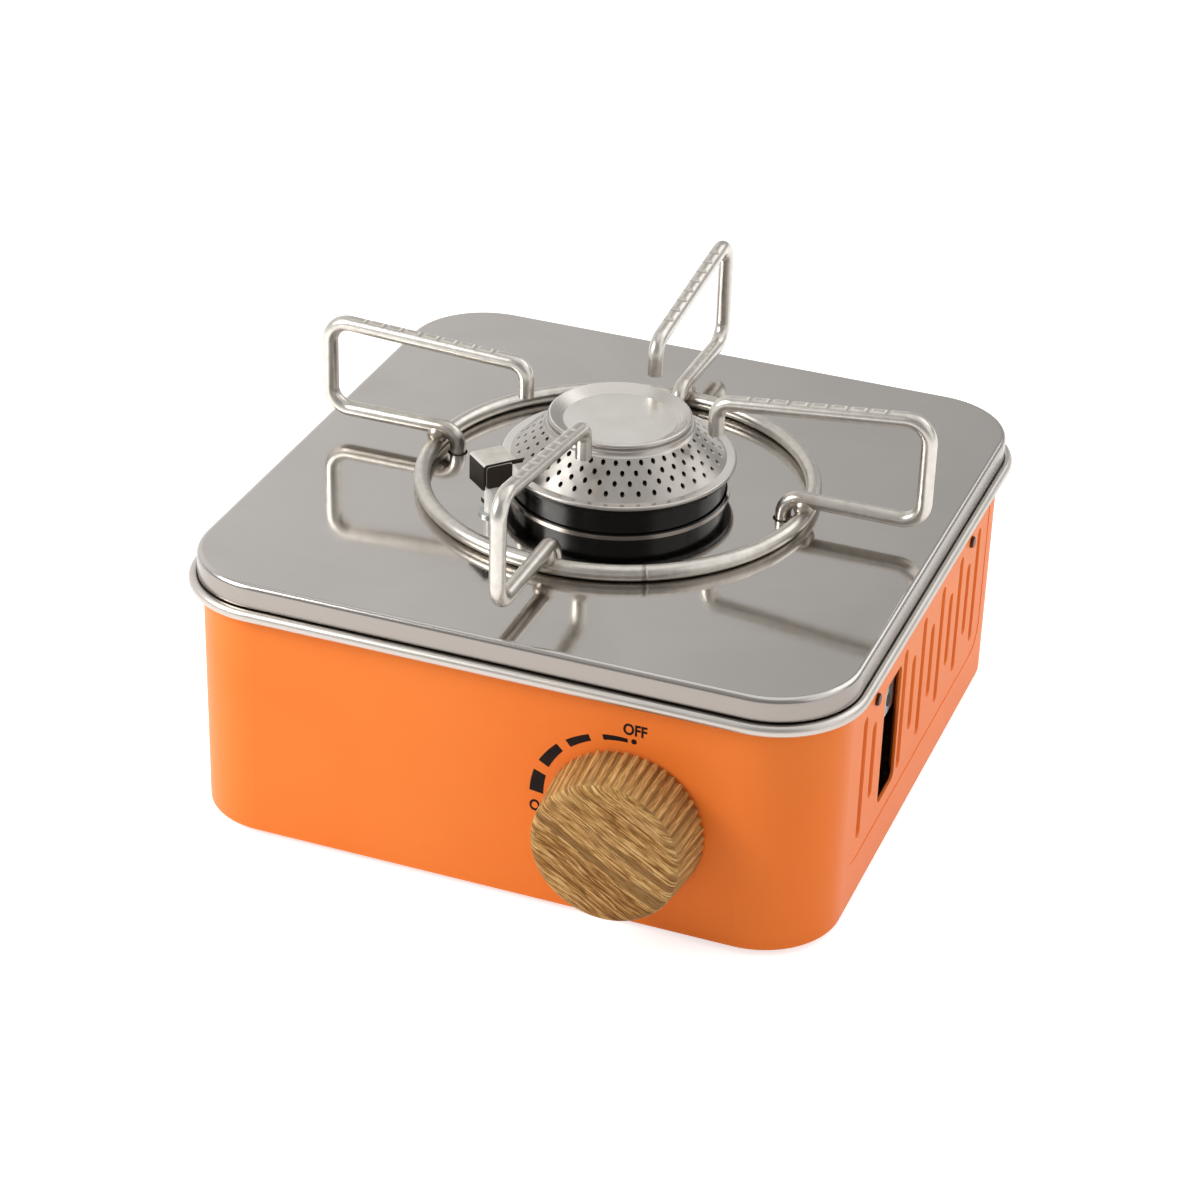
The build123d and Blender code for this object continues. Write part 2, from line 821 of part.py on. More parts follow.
def valve_screw_places():
    return [(knob_x, stand_front + stand_screw_inset), (knob_x, inlet_y)]


def regulator_screw_places():
    ring = Pos(knob_x, inlet_y, 0)
    turns = [Rot(0, 0, 45 + i * 360 / regulator_screw_count) for i in range(regulator_screw_count)]
    places = [(ring * turn * Pos(regulator_screw_circle, 0, 0)).position for turn in turns]
    return [(place.X, place.Y) for place in places]


def valve_body():
    left = knob_x - valve_half_width
    right = knob_x + valve_half_width
    body = block(left, right, valve_front, inlet_y, valve_bottom, valve_top)
    body += rod_z(regulator_radius, valve_bottom, regulator_z, knob_x, inlet_y)
    chamber_floor = regulator_z - chamber_depth
    body -= rod_z(chamber_radius, chamber_floor, regulator_z, knob_x, inlet_y)
    body -= rod_y(valve_bore_radius, valve_front, seat_y, knob_x, knob_z)
    body -= rod_y(seat_radius, seat_y, inlet_y, knob_x, knob_z)
    drain = seat_radius + end_gap
    body -= rod_z(drain, knob_z - drain - end_gap, chamber_floor, knob_x, inlet_y)
    body -= rod_x(outlet_radius, left, knob_x, outlet_y, knob_z)
    side = knob_x + regulator_radius
    body -= rod_x(socket_spigot_radius, knob_x, side, inlet_y, inlet_z)
    for place in valve_screw_places():
        body -= rod_z(screw_radius, valve_bottom, valve_bottom + valve_screw_length, *place)
    for place in regulator_screw_places():
        body -= rod_z(screw_radius, regulator_z - regulator_screw_length, regulator_z, *place)
    tail = piezo_back + piezo_tail / 2
    return body - rod_z(piezo_screw_radius, valve_top - valve_screw_length, valve_top, knob_x, tail)


def stand_screw_places():
    xs = (stand_left - stand_foot / 2, stand_right + stand_foot / 2)
    ys = (stand_front + stand_screw_inset, stand_back - stand_screw_inset)
    return [(x, y) for x in xs for y in ys]


def valve_bracket():
    y0, y1 = stand_front, stand_back
    t = stand_sheet
    stand = block(stand_left, stand_right, y0, y1, valve_bottom - t, valve_bottom)
    stand += block(stand_left, stand_left + t, y0, y1, base_top, valve_bottom - t)
    stand += block(stand_right - t, stand_right, y0, y1, base_top, valve_bottom - t)
    stand += block(stand_left - stand_foot, stand_left, y0, y1, base_top, base_top + t)
    stand += block(stand_right, stand_right + stand_foot, y0, y1, base_top, base_top + t)
    stand -= [rod_z(screw_radius, valve_bottom - t, valve_bottom, *place) for place in valve_screw_places()]
    return stand - [rod_z(screw_radius, base_top, base_top + t, *place) for place in stand_screw_places()]


def valve_screws():
    screws = []
    head_top = valve_bottom - stand_sheet
    for place in valve_screw_places():
        screw = rod_z(screw_radius, head_top, valve_bottom + valve_screw_length, *place)
        screws.append(screw + rod_z(2 * screw_radius, head_top - screw_head, head_top, *place))
    return screws


def bracket_screws():
    stand_top = base_top + stand_sheet
    bracket_top = base_top + bracket_sheet
    screws = [screw_down(*place, stand_top, screw_end) for place in stand_screw_places()]
    return screws + [screw_down(*place, bracket_top, screw_end) for place in bracket_screw_places()]


# Regulator and gas inlet
def regulator_diaphragm():
    disc = rod_z(regulator_radius, regulator_z, cover_bottom, knob_x, inlet_y)
    places = regulator_screw_places()
    return disc - [rod_z(screw_radius, regulator_z, cover_bottom, *place) for place in places]


def regulator_cover():
    cover = rod_z(regulator_radius, cover_bottom, cover_top, knob_x, inlet_y)
    cover = fillet(cover.edges().group_by(Axis.Z)[-1], cover_wall)
    cover -= rod_z(cover_cavity_radius, cover_bottom, cover_top - cover_wall, knob_x, inlet_y)
    places = regulator_screw_places()
    return cover - [rod_z(screw_radius, cover_bottom, cover_top, *place) for place in places]


def regulator_spring():
    low, high = cover_bottom, cover_top - cover_wall
    coil = rod_z(spring_radius, low, high, knob_x, inlet_y)
    return coil - rod_z(spring_radius - spring_wire, low, high, knob_x, inlet_y)


def regulator_screws():
    end = regulator_z - regulator_screw_length
    return [screw_down(x, y, cover_top, end) for x, y in regulator_screw_places()]


def inlet_socket():
    side = knob_x + regulator_radius
    start = side - socket_spigot
    neck = socket_end - socket_neck
    body = rod_x(socket_radius, side, neck, inlet_y, inlet_z)
    body += rod_x(socket_spigot_radius, start, side, inlet_y, inlet_z)
    body += rod_x(socket_neck_radius, neck, socket_end, inlet_y, inlet_z)
    body -= rod_x(inlet_bore_radius, seal_x, socket_end, inlet_y, inlet_z)
    body -= rod_x(inlet_seal_radius, seal_x - inlet_seal_length, seal_x, inlet_y, inlet_z)
    saddle = rod_z(regulator_radius, 0, plate_top, knob_x, inlet_y)
    spigot = rod_x(socket_spigot_radius, start, side, inlet_y, inlet_z)
    body = body - saddle + spigot
    return body - rod_x(gas_way_radius, start, seal_x, inlet_y, inlet_z)


def inlet_seal():
    ring = rod_x(inlet_seal_radius, seal_x - inlet_seal_length, seal_x, inlet_y, inlet_z)
    return ring - rod_x(gas_way_radius, seal_x - inlet_seal_length, seal_x, inlet_y, inlet_z)


def inlet_plate():
    y0, y1 = inlet_plate_front, inlet_plate_back
    low = inlet_z - inlet_plate_below
    top = inlet_z + inlet_plate_above
    t = inlet_plate_sheet
    plate = block(socket_end, inlet_plate_face, y0, y1, low, top)
    plate += block(socket_end, inner_x, y0, y1, top - t, top)
    plate += block(inner_x - t, inner_x, y0, y1, top, top + inlet_plate_flange)
    mouth = inlet_bore_radius + keyhole_gap
    plate -= rod_x(mouth, socket_end, inlet_plate_face, inlet_y, inlet_z)
    upper = (inlet_y + keyhole_shift, inlet_z + keyhole_rise)
    plate -= rod_x(keyhole_top_radius, socket_end, inlet_plate_face, *upper)
    neck = keyhole_top_radius / 2
    return plate - block(socket_end, inlet_plate_face, inlet_y, upper[0] + neck, inlet_z, upper[1])


# Gas pipe and jet
def pipe_path():
    port = (knob_x - valve_half_width, outlet_y, knob_z)
    return FilletPolyline(
        port,
        (pipe_side_x, outlet_y, knob_z),
        (pipe_side_x, pipe_front_y, knob_z),
        (0, pipe_front_y, knob_z),
        (0, jet_back, knob_z),
        radius=pipe_bend,
    )


def gas_pipe():
    return swept(pipe_path(), Circle(pipe_radius) - Circle(pipe_bore_radius))


def pipe_nuts():
    port = knob_x - valve_half_width
    at_valve = hex_x(pipe_nut_radius, port - pipe_nut_length, port, outlet_y, knob_z)
    at_valve -= rod_x(pipe_radius, port - pipe_nut_length, port, outlet_y, knob_z)
    at_jet = hex_y(pipe_nut_radius, jet_back - pipe_nut_length, jet_back, 0, knob_z)
    at_jet -= rod_y(pipe_radius, jet_back - pipe_nut_length, jet_back, 0, knob_z)
    return [at_valve, at_jet]


def gas_jet():
    thread_end = bracket_front + jet_thread
    nose = thread_end + jet_nose
    jet = hex_y(jet_hex_radius, jet_back, bracket_front, 0, knob_z)
    jet += rod_y(jet_thread_radius, bracket_front, thread_end, 0, knob_z)
    jet += rod_y(jet_nose_radius, thread_end, nose, 0, knob_z)
    jet -= rod_y(pipe_bore_radius, jet_back, thread_end, 0, knob_z)
    return jet - rod_y(jet_bore_radius, thread_end, nose, 0, knob_z)


def jet_lock_nut():
    y0 = bracket_front + bracket_sheet
    nut = hex_y(jet_hex_radius, y0, y0 + jet_nut, 0, knob_z)
    return nut - rod_y(jet_thread_radius, y0, y0 + jet_nut, 0, knob_z)


# Piezo unit, worked by a carriage that the drum on the stem drives along the stem
def piezo_unit():
    width = 2 * piezo_half
    unit = Pos(knob_x, (piezo_front + piezo_back) / 2, piezo_z) * Box(width, piezo_length, width)
    bore_end = carriage_back + plunger_length + igniter_travel + plunger_room
    return unit - rod_y(plunger_radius + needle_gap, piezo_front, bore_end, knob_x, piezo_z)


def piezo_plunger():
    return rod_y(plunger_radius, carriage_back, carriage_back + plunger_length, knob_x, piezo_z)


def piezo_bracket():
    outer = piezo_half + piezo_cheek
    base = valve_top + piezo_saddle
    back = piezo_back + piezo_tail
    saddle = block(knob_x - outer, knob_x + outer, piezo_front, back, valve_top, base)
    for x0 in (knob_x - outer, knob_x + piezo_half):
        saddle += block(x0, x0 + piezo_cheek, piezo_front, piezo_back, base, base + piezo_cheek_height)
    return saddle - rod_z(piezo_screw_radius, valve_top, base, knob_x, piezo_back + piezo_tail / 2)


def piezo_screw():
    tail = piezo_back + piezo_tail / 2
    end = valve_top - valve_screw_length
    return screw_down(knob_x, tail, valve_top + piezo_saddle, end, piezo_screw_radius)


def igniter_carriage():
    x0, x1 = knob_x - carriage_half, knob_x + carriage_half
    plate = block(x0, x1, carriage_front, carriage_back, knob_z - carriage_half, piezo_z + piezo_half)
    plate = fillet(plate.edges().filter_by(Axis.Y), carriage_corner)
    return plate - rod_y(drum_radius + needle_gap, carriage_front, carriage_back, knob_x, knob_z)


pieces = {
    "body_shell": body_shell(),
    "rim_bead": rim_bead(),
    "base_plate": base_plate(),
    "base_rivets": base_rivets(),
    "rubber_feet": rubber_feet(),
    "top_plate": top_plate(),
    "top_plate_screws": top_plate_screws(),
    "burner_cap": burner_cap(),
    "burner_bowl": burner_bowl(),
    "mixing_tube": mixing_tube(),
    "burner_bracket": burner_bracket(),
    "support_ring": support_ring(),
    "support_welds": support_welds(),
    "spark_hood": igniter_place() * spark_hood(),
    "igniter_ceramic": igniter_place() * igniter_ceramic(),
    "igniter_clip": igniter_place() * igniter_clip(),
    "spark_electrode": igniter_place() * spark_electrode(),
    "ignition_lead": ignition_lead(),
    "knob": knob(),
    "knob_insert": knob_insert(),
    "valve_stem": valve_stem(),
    "valve_needle": valve_needle(),
    "valve_bush": valve_bush(),
    "stem_seal": stem_seal(),
    "valve_body": valve_body(),
    "valve_bracket": valve_bracket(),
    "valve_screws": valve_screws(),
    "bracket_screws": bracket_screws(),
    "regulator_diaphragm": regulator_diaphragm(),
    "regulator_cover": regulator_cover(),
    "regulator_spring": regulator_spring(),
    "regulator_screws": regulator_screws(),
    "inlet_socket": inlet_socket(),
    "inlet_seal": inlet_seal(),
    "inlet_plate": inlet_plate(),
    "gas_pipe": gas_pipe(),
    "pipe_nuts": pipe_nuts(),
    "gas_jet": gas_jet(),
    "jet_nut": jet_lock_nut(),
    "piezo_unit": piezo_unit(),
    "piezo_plunger": piezo_plunger(),
    "piezo_bracket": piezo_bracket(),
    "piezo_screw": piezo_screw(),
    "igniter_carriage": igniter_carriage(),
}
pieces |= {name: support_arm(*sizes) for name, sizes in arms.items()}

os.makedirs("parts", exist_ok=True)
for name, piece in pieces.items():
    solids = piece if isinstance(piece, list) else [piece]
    solids = [solid for shape in solids for solid in shape.solids()]
    node = Pos(0, depth_shift, 0) * Compound(children=solids)
    export_step(node, f"parts/{name}.step")
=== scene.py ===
import bmesh
import bpy
import json
from math import cos, radians, sin
from mathutils import Matrix, Quaternion, Vector


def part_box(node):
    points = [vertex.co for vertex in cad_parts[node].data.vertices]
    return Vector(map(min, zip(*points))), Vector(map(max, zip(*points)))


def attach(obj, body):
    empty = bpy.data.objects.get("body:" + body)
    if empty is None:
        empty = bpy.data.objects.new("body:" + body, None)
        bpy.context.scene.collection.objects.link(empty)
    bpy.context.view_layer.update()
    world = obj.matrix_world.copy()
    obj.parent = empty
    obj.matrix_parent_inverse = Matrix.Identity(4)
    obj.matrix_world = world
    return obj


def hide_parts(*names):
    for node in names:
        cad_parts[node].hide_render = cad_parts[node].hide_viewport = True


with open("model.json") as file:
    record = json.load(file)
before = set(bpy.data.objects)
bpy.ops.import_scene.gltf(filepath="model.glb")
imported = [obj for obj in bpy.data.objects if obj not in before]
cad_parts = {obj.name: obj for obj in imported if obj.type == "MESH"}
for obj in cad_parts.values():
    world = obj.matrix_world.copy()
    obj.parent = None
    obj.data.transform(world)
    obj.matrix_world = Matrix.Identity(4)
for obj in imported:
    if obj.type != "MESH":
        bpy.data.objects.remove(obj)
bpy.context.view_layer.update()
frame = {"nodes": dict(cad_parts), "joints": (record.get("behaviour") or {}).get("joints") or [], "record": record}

# Places in metres, read from the frame
nodes = frame["nodes"]
knob_joint = next(joint for joint in frame["joints"] if joint["name"] == "knob_turn")
knob_x, front_wall, knob_z = knob_joint["pos_m"]
knob_low, knob_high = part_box("knob")
knob_radius = (knob_high.x - knob_low.x) / 2
shell_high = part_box("body_shell")[1]
burner_low, burner_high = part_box("burner_cap")
burner_x = (burner_low.x + burner_high.x) / 2
burner_y = (burner_low.y + burner_high.y) / 2
ring_low, ring_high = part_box("support_ring")
wire = ring_high.z - ring_low.z
ring_radius = (ring_high.x - ring_low.x - wire) / 2
weld_z = ring_high.z
hood_low, hood_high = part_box("spark_hood")
ceramic_low, ceramic_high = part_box("igniter_ceramic")
hood_x = (ceramic_low.x + ceramic_high.x) / 2
hood_y = (ceramic_low.y + ceramic_high.y) / 2
hood_away = Vector((hood_x - burner_x, hood_y - burner_y, 0)).normalized()
hood_beside = Vector((-hood_away.y, hood_away.x, 0))


def srgb(red, green, blue):
    """A colour as it looks, 0 to 255, as the linear colour that shaders take."""
    def linear(value):
        value /= 255
        return value / 12.92 if value <= 0.04045 else ((value + 0.055) / 1.055) ** 2.4
    return linear(red), linear(green), linear(blue), 1.0


def set_stops(ramp, stops):
    """Fills a colour ramp node with stops, each a position and a colour."""
    bar = ramp.color_ramp.elements
    while len(bar) < len(stops):
        bar.new(1.0)
    for element, (position, colour) in zip(bar, stops):
        element.position = position
        element.color = colour


# Shader nodes. Nearly all of a noise texture's values lie in the noise range
noise_range = (0.3, 0.7)


class Shader:
    """One material and the nodes that drive its Principled shader."""

    def __init__(self, name, **sockets):
        self.material = bpy.data.materials.new(name)
        self.material.use_nodes = True
        self.tree = self.material.node_tree
        self.principled = self.tree.nodes["Principled BSDF"]
        self.place = self.add("ShaderNodeTexCoord").outputs["Object"]
        for socket, value in sockets.items():
            self.set(socket.replace("_", " "), value)

    def add(self, kind, inputs=None, **settings):
        """A new node, its inputs fed with constants or with other nodes' outputs."""
        node = self.tree.nodes.new(kind)
        for key, value in settings.items():
            setattr(node, key, value)
        for key, value in (inputs or {}).items():
            self.feed(node.inputs[key], value)
        return node

    def feed(self, socket, value):
        if isinstance(value, bpy.types.NodeSocket):
            self.tree.links.new(value, socket)
        else:
            socket.default_value = value

    def set(self, socket, value):
        """Feeds an input of the Principled shader, named in capitals or small letters."""
        names = {name.lower(): name for name in self.principled.inputs.keys()}
        self.feed(self.principled.inputs[names[socket.lower()]], value)

    def normal(self):
        return self.add("ShaderNodeNewGeometry").outputs["Normal"]

    def split(self, vector):
        return self.add("ShaderNodeSeparateXYZ", {"Vector": vector}).outputs

    def vector(self, x, y, z):
        return self.add("ShaderNodeCombineXYZ", {"X": x, "Y": y, "Z": z}).outputs["Vector"]

    def vector_math(self, operation, first, second=(0, 0, 0)):
        return self.add("ShaderNodeVectorMath", {0: first, 1: second}, operation=operation).outputs

    def dot(self, first, second):
        return self.vector_math("DOT_PRODUCT", first, second)["Value"]

    def length(self, vector):
        return self.vector_math("LENGTH", vector)["Value"]

    def math(self, operation, first, second=0.0):
        return self.add("ShaderNodeMath", {0: first, 1: second}, operation=operation).outputs["Value"]

    def apart(self, first, second):
        """How far apart two numbers are."""
        return self.math("ABSOLUTE", self.math("SUBTRACT", first, second))

    def average(self, share, first, second):
        """A share of the first number and the rest of the second."""
        rest = self.math("MULTIPLY", second, 1 - share)
        return self.math("ADD", self.math("MULTIPLY", first, share), rest)

    def span(self, value, old, new=(0, 1)):
        """A number taken from an old range to a new one, and held inside it."""
        inputs = {"Value": value, "From Min": old[0], "From Max": old[1]}
        inputs |= {"To Min": new[0], "To Max": new[1]}
        return self.add("ShaderNodeMapRange", inputs).outputs["Result"]

    def spread(self, noise, new=(0, 1)):
        """A noise spread over a new range."""
        return self.span(noise, noise_range, new)

    def mapped(self, scale, turn=(0, 0, 0), place=None):
        inputs = {"Vector": place or self.place, "Scale": scale, "Rotation": turn}
        return self.add("ShaderNodeMapping", inputs).outputs["Vector"]

    def noise(self, scale, place=None, detail=3.0, rough=0.55, bend=0.0):
        inputs = {"Vector": place or self.place, "Scale": scale, "Detail": detail}
        inputs |= {"Roughness": rough, "Distortion": bend}
        return self.add("ShaderNodeTexNoise", inputs).outputs["Fac"]

    def streaks(self, scales, place=None, detail=3.0, rough=0.55):
        """A noise with a scale of its own along each axis."""
        return self.noise(1.0, self.mapped(scales, place=place), detail, rough)

    def blend(self, share, first, second):
        """A colour between two others."""
        node = self.add("ShaderNodeMix", {0: share, 6: first, 7: second}, data_type="RGBA")
        return node.outputs[2]

    def blend_places(self, share, first, second):
        node = self.add("ShaderNodeMix", {0: share, 4: first, 5: second}, data_type="VECTOR")
        return node.outputs[1]

    def ramp(self, value, stops):
        node = self.add("ShaderNodeValToRGB", {"Fac": value})
        set_stops(node, stops)
        return node.outputs["Color"]

    def bump(self, height, depth, under=None):
        """Sets the surface's bump, on top of another bump where one lies under it."""
        inputs = {"Height": height, "Distance": depth, "Strength": 1.0}
        if under:
            inputs["Normal"] = under
        normal = self.add("ShaderNodeBump", inputs).outputs["Normal"]
        self.set("Normal", normal)
        return normal


# Paint: how far the row of grooves reaches along the side walls, the depths between which the grooves take
# painted shade, and the heights below the walls' top edge between which the paint turns dark brown
groove_reach = 0.06
groove_depths = (0.0004, 0.0013)
top_dark_heights = (0.0007, 0.0004)


def orange_paint():
    """Smooth stoved paint, with painted shade in the grooves of the side walls, and dark brown along the top edge.
    """
    shader = Shader("orange_paint", specular_ior_level=0.12)
    pale, deep = srgb(253, 137, 60), srgb(250, 130, 53)
    groove_shade_colour, top_edge_dark = srgb(190, 78, 32), srgb(58, 48, 42)
    clouds = shader.noise(scale=14, detail=2.0)
    paint = shader.blend(shader.span(clouds, old=(0.35, 0.65)), pale, deep)
    parts = shader.split(shader.place)
    depth = shader.math("SUBTRACT", shell_high.x, shader.math("ABSOLUTE", parts["X"]))
    # Painted shade: the grooves darken with their depth below the wall's face
    groove_shade_share = shader.span(depth, old=groove_depths, new=(0, 0.75))
    in_row = shader.math("LESS_THAN", shader.apart(parts["Y"], burner_y), groove_reach)
    groove_shaded_paint = shader.blend(shader.math("MULTIPLY", groove_shade_share, in_row), paint, groove_shade_colour)
    # The band just below the walls' top edge turns dark brown
    at_top = shader.span(parts["Z"], old=[shell_high.z - height for height in top_dark_heights])
    shader.set("Base Color", shader.blend(at_top, groove_shaded_paint, top_edge_dark))
    peel = shader.noise(scale=900, detail=2.0)
    shader.set("Roughness", shader.spread(peel, new=(0.36, 0.44)))
    shader.bump(peel, depth=0.000012)
    return shader.material


def mirror_steel(name, light, dark, steep_shade, rough, brushed):
    """Rolled steel with faint brushed lines and smears, rougher at its folds, and with painted shade darkening its
    upright sides.
    """
    shader = Shader(name, metallic=1.0)
    lines = shader.streaks(brushed, detail=5.0, rough=0.6)
    smears = shader.noise(scale=22, bend=0.6)
    clean = shader.blend(shader.span(smears, old=(0.35, 0.7)), light, dark)
    level = shader.math("ABSOLUTE", shader.split(shader.normal())["Z"])
    upright = shader.span(level, old=(0.2, 0.8), new=(1, 0))
    # Painted shade: faces that stand upright take a darker colour
    shader.set("Base Color", shader.blend(upright, clean, steep_shade))
    wear_and_side_light = shader.span(shader.average(0.7, lines, smears), old=(0.35, 0.65), new=rough)
    fold = shader.span(level, old=(0.9, 0.99), new=(0.14, 0))
    shader.set("Roughness", shader.math("ADD", fold, wear_and_side_light))
    shader.bump(lines, depth=0.0000012)
    return shader.material


# Pot support: the butt weld that closes the ring, at an angle round the burner
seam_turn = radians(-62)
seam_out = Vector((cos(seam_turn), sin(seam_turn), 0))
seam_along = seam_out.cross(Vector((0, 0, 1)))
seam_place = Vector((burner_x, burner_y, ring_high.z - wire / 2)) + seam_out * ring_radius


def ring_seam(shader, patchy):
    """One on the butt weld where the ring's ends meet, and nought elsewhere."""
    offset = shader.vector_math("SUBTRACT", shader.place, seam_place)["Vector"]
    near = shader.span(shader.length(offset), old=(wire * 0.8, wire), new=(1, 0))
    run = shader.math("ABSOLUTE", shader.dot(offset, seam_along))
    ragged = shader.math("ADD", run, shader.spread(patchy, new=(-0.0003, 0.0003)))
    return shader.math("MULTIPLY", near, shader.span(ragged, old=(0.0004, 0.0009), new=(1, 0)))


def weld_distance(shader):
    """How far a place is from the nearest of the four welds that hold the arms to the ring."""
    parts = shader.split(shader.place)
    across = shader.apart(parts["X"], burner_x)
    along = shader.apart(parts["Y"], burner_y)
    outwards = shader.math("SUBTRACT", shader.math("MAXIMUM", across, along), ring_radius)
    sideways = shader.math("MINIMUM", across, along)
    upwards = shader.math("SUBTRACT", parts["Z"], weld_z)
    return shader.length(shader.vector(outwards, sideways, upwards))


def wire_steel():
    """Bright drawn wire, browned where the arms are welded, with the butt weld that closes the ring."""
    shader = Shader("wire_steel", metallic=1.0)
    bright, dim = srgb(212, 208, 201), srgb(196, 191, 183)
    browned, seamed = srgb(126, 104, 78), srgb(120, 108, 94)
    patchy = shader.noise(scale=420, detail=4.0)
    clean = shader.blend(shader.spread(patchy), bright, dim)
    away = shader.math("ADD", weld_distance(shader), shader.spread(patchy, new=(-0.0016, 0.0016)))
    heat = shader.span(away, old=(0.0022, 0.0062), new=(0.5, 0))
    welded = shader.blend(heat, clean, browned)
    seam = ring_seam(shader, patchy)
    shader.set("Base Color", shader.blend(shader.math("MULTIPLY", seam, 0.55), welded, seamed))
    drawn = shader.noise(scale=1800, detail=4.0)
    shader.set("Roughness", shader.spread(drawn, new=(0.29, 0.34)))
    drawn_lines = shader.bump(drawn, depth=0.0000004)
    shader.bump(seam, depth=0.00012, under=drawn_lines)
    return shader.material


def burner_steel():
    """Pressed steel with the fine rings that spinning leaves, rougher on the cone than on its flat top, and darker
    there by painted shade.
    """
    shader = Shader("burner_steel", metallic=1.0)
    bright, clouded, steep_shade = srgb(240, 237, 232), srgb(230, 226, 220), srgb(174, 169, 163)
    parts = shader.split(shader.place)
    across = shader.math("SUBTRACT", parts["X"], burner_x)
    along = shader.math("SUBTRACT", parts["Y"], burner_y)
    radius = shader.length(shader.vector(across, along, 0))
    rings = shader.noise(scale=2600, place=shader.vector(radius, 0, parts["Z"]), detail=2.0)
    clouds = shader.noise(scale=70)
    on_top = shader.blend(shader.spread(clouds), bright, clouded)
    on_cone = shader.span(shader.split(shader.normal())["Z"], old=(0.86, 0.96), new=(1, 0))
    # Painted shade: the sloping cone takes a darker colour than the flat top
    shader.set("Base Color", shader.blend(on_cone, on_top, steep_shade))
    ringed = shader.spread(rings, new=(0.2, 0.26))
    shader.set("Roughness", shader.math("ADD", ringed, shader.math("MULTIPLY", on_cone, 0.08)))
    shader.bump(rings, depth=0.0000004)
    return shader.material


def hood_steel():
    """Folded satin sheet, with painted shade darkening its flat upright sides, so that its folds and edges stay
    bright.
    """
    shader = Shader("hood_steel", metallic=1.0)
    bright, clouded, dark = srgb(240, 236, 230), srgb(220, 215, 207), srgb(58, 52, 47)
    normal = shader.normal()
    sides = [shader.math("ABSOLUTE", shader.dot(normal, way)) for way in (hood_away, hood_beside)]
    side_shade_share = shader.span(shader.math("MAXIMUM", *sides), old=(0.9, 0.98))
    clouds = shader.noise(scale=260, detail=4.0)
    satin = shader.blend(shader.spread(clouds), bright, clouded)
    # Painted shade: the flat upright sides take the dark colour
    shader.set("Base Color", shader.blend(side_shade_share, satin, dark))
    shader.set("Roughness", shader.spread(clouds, new=(0.3, 0.42)))
    shader.bump(clouds, depth=0.00001)
    return shader.material


def galvanised():
    """Zinc-coated sheet with its crystal spangle."""
    shader = Shader("galvanised", metallic=0.9)
    pale, grey = srgb(206, 208, 208), srgb(172, 175, 176)
    cells = shader.add("ShaderNodeTexVoronoi", {"Vector": shader.place, "Scale": 330.0})
    tone = shader.add("ShaderNodeSeparateColor", {"Color": cells.outputs["Color"]}).outputs["Red"]
    shader.set("Base Color", shader.blend(tone, pale, grey))
    shader.set("Roughness", shader.span(tone, old=(0, 1), new=(0.3, 0.5)))
    shader.bump(shader.noise(scale=900), depth=0.000006)
    return shader.material


# Knob: its number of ribs, and the slant of the grain on its face
knob_ribs = 50
grain_turn = (0, radians(-31), 0)


def knob_face_place(shader):
    """A place on the knob's face, with the slanting grain along X and wandering a little in Z."""
    turned = shader.mapped((1, 1, 1), grain_turn)
    wander = shader.streaks((25, 10, 60), turned, detail=2.0)
    parts = shader.split(turned)
    across = shader.math("ADD", parts["Z"], shader.spread(wander, new=(-0.0012, 0.0012)))
    return shader.vector(parts["X"], 0, across)


def knob_side_place(shader):
    """The angle round the knob, and a place with depth along the grain and the way round across it."""
    parts = shader.split(shader.place)
    across = shader.math("SUBTRACT", parts["X"], knob_x)
    up = shader.math("SUBTRACT", parts["Z"], knob_z)
    angle = shader.math("ARCTAN2", up, across)
    return angle, shader.vector(parts["Y"], 0, shader.math("MULTIPLY", angle, knob_radius))


def knob_side_share(shader):
    """One on the knob's ribbed side and nought on its face."""
    facing = shader.math("ABSOLUTE", shader.split(shader.normal())["Y"])
    return shader.span(facing, old=(0.42, 0.52), new=(1, 0))


def wood_grain():
    """Printed wood grain: long fibres across the face, drawn out along the side, with painted light on the ribbed
    side and painted shade between the ribs.
    """
    shader = Shader("wood_grain", specular_ior_level=0.25)
    band, pore = srgb(112, 70, 20), srgb(106, 66, 20)
    wear_and_side_light, shade = srgb(222, 178, 112), srgb(96, 60, 20)
    side = knob_side_share(shader)
    angle, round_side = knob_side_place(shader)
    place = shader.blend_places(side, knob_face_place(shader), round_side)
    bands = shader.streaks((8, 6, 190), place)
    fibres = shader.streaks((120, 12, 1900), place, detail=4.0, rough=0.65)
    pores = shader.streaks((200, 30, 2600), place, detail=2.0, rough=0.5)
    mixed = shader.average(0.4, bands, fibres)
    tone = shader.ramp(mixed, [
        (0.4, srgb(112, 70, 22)),
        (0.47, srgb(168, 121, 62)),
        (0.52, srgb(202, 157, 96)),
        (0.58, srgb(222, 182, 121)),
    ])
    banded = shader.blend(shader.span(bands, old=(0.55, 0.59), new=(0, 0.75)), tone, band)
    pored = shader.blend(shader.span(pores, old=(0.53, 0.59), new=(0, 0.75)), banded, pore)
    # Painted light: the ribbed side is blended towards a paler tan
    side_lightened = shader.blend(shader.math("MULTIPLY", side, 0.3), pored, wear_and_side_light)
    # Painted shade: the valleys between the ribs darken
    between = shader.math("COSINE", shader.math("MULTIPLY", angle, knob_ribs))
    rib_valley_shade = shader.math("MULTIPLY", side, shader.span(between, old=(-0.2, 1), new=(0, 0.55)))
    shader.set("Base Color", shader.blend(rib_valley_shade, side_lightened, shade))
    shader.set("Roughness", shader.spread(fibres, new=(0.75, 0.6)))
    shader.bump(mixed, depth=0.00012)
    return shader.material


